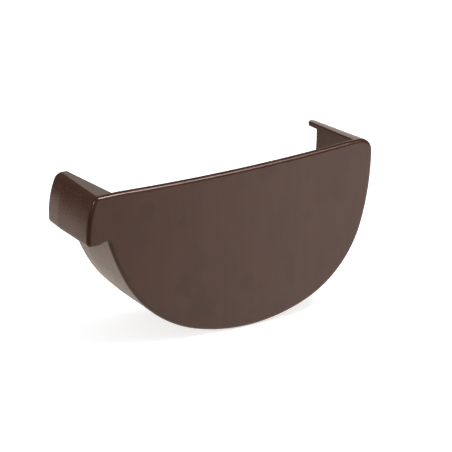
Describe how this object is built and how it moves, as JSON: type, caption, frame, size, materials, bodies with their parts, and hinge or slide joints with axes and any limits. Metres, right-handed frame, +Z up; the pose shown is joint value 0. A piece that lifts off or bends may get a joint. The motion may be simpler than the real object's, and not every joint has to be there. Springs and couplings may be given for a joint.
{
  "type": "gutter stop end",
  "caption": "D-shaped moulded end cap for a half-round gutter: flat outer plate, socket skirt with a box for the front bead and an inturned lip at the wall side.",
  "frame": {"origin": "on the floor, under the middle of the part's bounding box, with the part standing unheld on its round bottom", "axes": "+X across the gutter towards the wall side, the front bead is at -X; +Y along the gutter, the mouth opens to +Y and the blank outer face looks to -Y; +Z up. The part is turned about Y by its own balance, bead side down"},
  "size_m": [0.1262, 0.0408, 0.0702],
  "materials": {
    "brown_plastic": "smooth injection-moulded brown PVC with a clear gloss, through-coloured"
  },
  "bodies": {
    "root": {"stop_end": "brown_plastic"}
  },
  "joints": []
}
